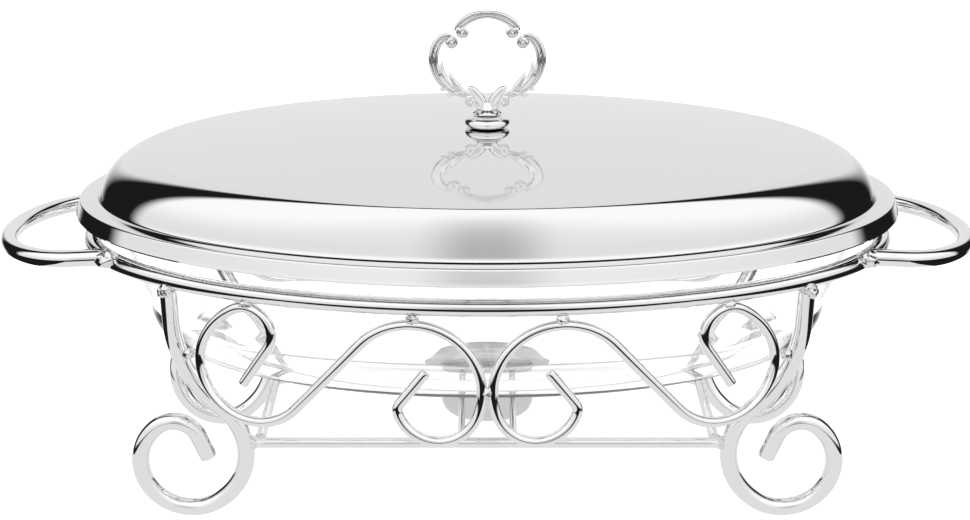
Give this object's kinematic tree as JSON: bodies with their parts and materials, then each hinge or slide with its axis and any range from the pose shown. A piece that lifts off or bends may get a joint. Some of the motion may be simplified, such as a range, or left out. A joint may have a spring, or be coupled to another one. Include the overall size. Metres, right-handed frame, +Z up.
{
  "type": "buffet food warmer",
  "caption": "Oval glass roasting dish with a polished domed steel lid and cast openwork knob, wedged in a bent-wire scroll stand over a tealight burner.",
  "frame": {"origin": "on the floor under the middle of the oval ring, centre of the footprint", "axes": "+X along the long side towards the right handle, +Z up, -Y towards the viewer"},
  "size_m": [0.4274, 0.256, 0.2095],
  "materials": {
    "stand_chrome": "bright chrome plate on bent round wire, silvery weld beads at the joints",
    "knob_chrome": "bright plated casting, darker in the recesses",
    "lid_steel": "polished stainless steel sheet, faint circular polishing lines",
    "fastener_steel": "plain zinc-bright steel",
    "clear_glass": "clear heat-proof glass, polished",
    "burner_steel": "thin pressed steel, satin, slightly heat-dulled",
    "tealight_foil": "thin pressed aluminium cup",
    "wax": "white paraffin wax, slightly translucent",
    "wick": "braided cotton wick"
  },
  "bodies": {
    "stand": {"ring": "stand_chrome", "handle_left": "stand_chrome", "handle_right": "stand_chrome", "leg_front_left": "stand_chrome", "leg_front_right": "stand_chrome", "leg_back_left": "stand_chrome", "leg_back_right": "stand_chrome", "scroll_front_left": "stand_chrome", "scroll_front_right": "stand_chrome", "scroll_back_left": "stand_chrome", "scroll_back_right": "stand_chrome", "stretcher_front": "stand_chrome", "stretcher_back": "stand_chrome", "burner_hoop": "stand_chrome", "strut_front_left": "stand_chrome", "strut_front_right": "stand_chrome", "strut_back_left": "stand_chrome", "strut_back_right": "stand_chrome"},
    "dish": {"glass_dish": "clear_glass"},
    "lid": {"lid_shell": "lid_steel", "knob_collar": "knob_chrome", "knob_loop": "knob_chrome", "knob_screw": "fastener_steel", "knob_washer": "fastener_steel"},
    "burner": {"burner_bowl": "burner_steel"},
    "tealight": {"tealight_case": "tealight_foil", "tealight_wax": "wax", "tealight_wick": "wick"}
  },
  "joints": [
    {"name": "dish_lift", "type": "slide", "parent": "stand", "child": "dish", "axis": [0, 0, 1], "range_m": [0, 0.12]},
    {"name": "lid_lift", "type": "slide", "parent": "dish", "child": "lid", "axis": [0, 0, 1], "range_m": [0, 0.16]},
    {"name": "burner_lift", "type": "slide", "parent": "stand", "child": "burner", "axis": [0, 0, 1], "range_m": [0, 0.012]},
    {"name": "tealight_lift", "type": "slide", "parent": "burner", "child": "tealight", "axis": [0, 0, 1], "range_m": [0, 0.005]}
  ]
}
